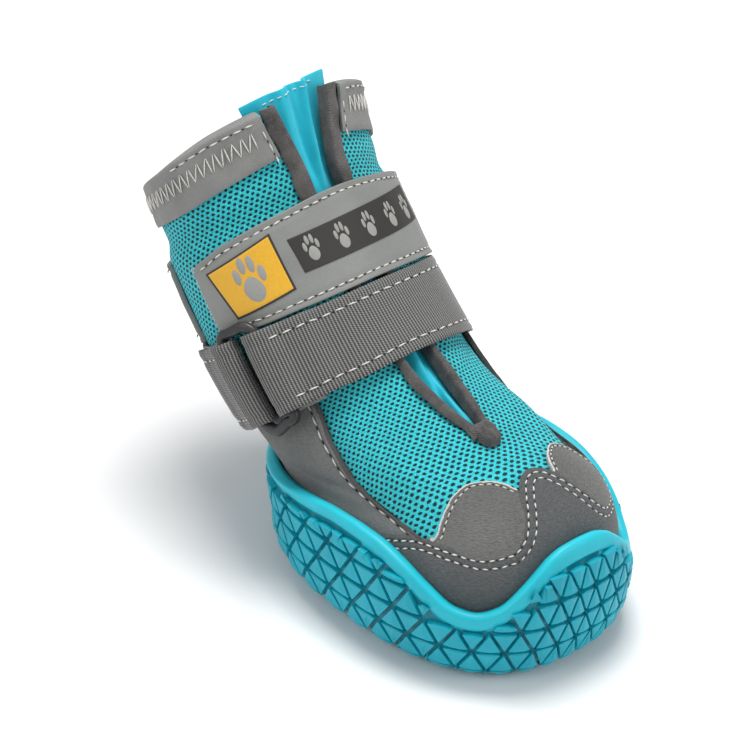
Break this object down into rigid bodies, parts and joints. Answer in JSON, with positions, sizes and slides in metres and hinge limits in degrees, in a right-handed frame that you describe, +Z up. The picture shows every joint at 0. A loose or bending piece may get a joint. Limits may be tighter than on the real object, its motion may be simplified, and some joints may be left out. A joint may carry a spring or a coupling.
{
  "type": "dog boot",
  "caption": "Small slip-on boot for a dog's paw: lugged rubber cup sole, mesh upper with toe cap and side panels, front slit with gusset, and two straps with a ring.",
  "frame": {"origin": "on the ground plane under the middle of the foot, halfway between the toe and heel ends of the upper's foot", "axes": "+Z up out of the ground, -Y towards the toe, +Y towards the heel, +X to one side across the boot"},
  "size_m": [0.0663, 0.1313, 0.0975],
  "materials": {
    "rubber": "matte teal rubber",
    "mesh": "turquoise air mesh",
    "satin": "turquoise stretch satin",
    "lining": "dark lining cloth",
    "toe_cap": "dark grey coated leather",
    "petal": "light grey coated leather",
    "cover": "grey coated leather",
    "piping": "grey folded tape",
    "strap": "grey reflective coated band",
    "tape": "white loop tape",
    "webbing": "grey ribbed webbing",
    "ring": "dark grey moulded plastic"
  },
  "bodies": {
    "root": {"outsole": "rubber", "upper": "mesh", "gusset": "satin", "insole": "lining", "toe_cap": "toe_cap", "petal_left": "petal", "petal_right": "petal", "side_panel_left": "cover", "side_panel_right": "cover", "slit_piping_left": "piping", "slit_piping_right": "piping", "slit_tip_tab": "piping", "collar_binding": "cover", "strap_band": "strap", "loop_tape": "tape", "strap_webbing": "webbing", "ring_loop": "webbing", "ring": "ring"}
  },
  "joints": []
}
